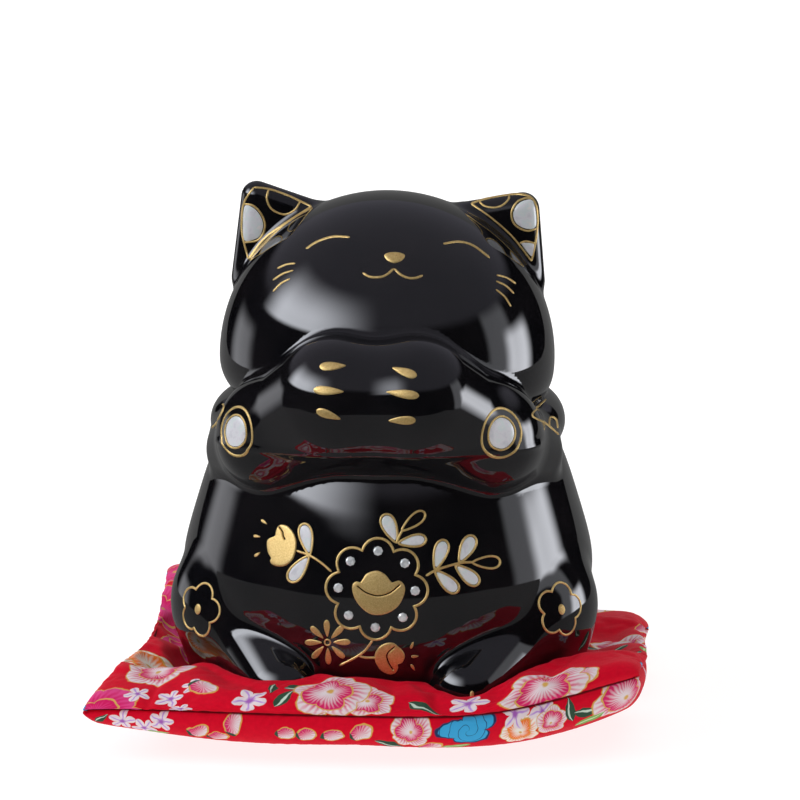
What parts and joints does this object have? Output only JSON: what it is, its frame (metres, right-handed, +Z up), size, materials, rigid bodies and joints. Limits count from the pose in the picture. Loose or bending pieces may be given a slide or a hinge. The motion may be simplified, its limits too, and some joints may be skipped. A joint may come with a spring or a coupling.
{
  "type": "lucky cat coin bank",
  "caption": "Seated greeting cat coin bank in glossy black ceramic, both paws joined under the chin, gold and pearl relief, set on a dented stuffed cushion.",
  "frame": {"origin": "on the table, under the middle of the cushion", "axes": "+Z up; the cat faces -Y; +X is the viewer's right when facing the cat"},
  "size_m": [0.236, 0.224, 0.229],
  "materials": {
    "black_glaze": "high gloss glaze",
    "gold_lustre": "bright gold lustre on raised enamel",
    "pearl_inlay": "mother-of-pearl look",
    "clear_crystal": "faceted, foil backed",
    "printed_cloth": "red cloth with a flower print",
    "stuffing": "fibre",
    "soft_rubber": "matt"
  },
  "bodies": {
    "cushion": {"cushion_bottom_cover": "printed_cloth", "cushion_top_cover": "printed_cloth", "cushion_filling": "stuffing"},
    "cat": {"torso_shell": "black_glaze", "head_shell": "black_glaze", "arm_left": "black_glaze", "arm_right": "black_glaze", "leg_left": "black_glaze", "leg_right": "black_glaze", "ear_left": "black_glaze", "ear_right": "black_glaze", "tail": "black_glaze", "shawl": "black_glaze", "medallion_rim": "gold_lustre", "ingot_badge": "gold_lustre", "sprig_stems": "gold_lustre", "leaf_rims": "gold_lustre", "bud_badge_left": "gold_lustre", "bud_badge_low": "gold_lustre", "daisy_petals": "gold_lustre", "daisy_ring": "gold_lustre", "spark_strokes": "gold_lustre", "haunch_flower_left": "gold_lustre", "haunch_flower_right": "gold_lustre", "claw_marks_left": "gold_lustre", "claw_marks_right": "gold_lustre", "arm_ring_left": "gold_lustre", "arm_ring_right": "gold_lustre", "ear_rim_left": "gold_lustre", "ear_rim_right": "gold_lustre", "nose_badge": "gold_lustre", "mouth_line": "gold_lustre", "eye_line_left": "gold_lustre", "eye_line_right": "gold_lustre", "whiskers_left": "gold_lustre", "whiskers_right": "gold_lustre", "leaf_inlays": "pearl_inlay", "arm_inlay_left": "pearl_inlay", "arm_inlay_right": "pearl_inlay", "ear_inlay_left": "pearl_inlay", "ear_inlay_right": "pearl_inlay", "medallion_crystals": "clear_crystal"},
    "stopper": {"stopper": "soft_rubber"}
  },
  "joints": [
    {"name": "cat_lift", "type": "slide", "parent": "cushion", "child": "cat", "axis": [0, 0, 1], "range_m": [0, 0.12]},
    {"name": "stopper_pull", "type": "slide", "parent": "cat", "child": "stopper", "axis": [0, 0, -1], "range_m": [0, 0.008]}
  ]
}
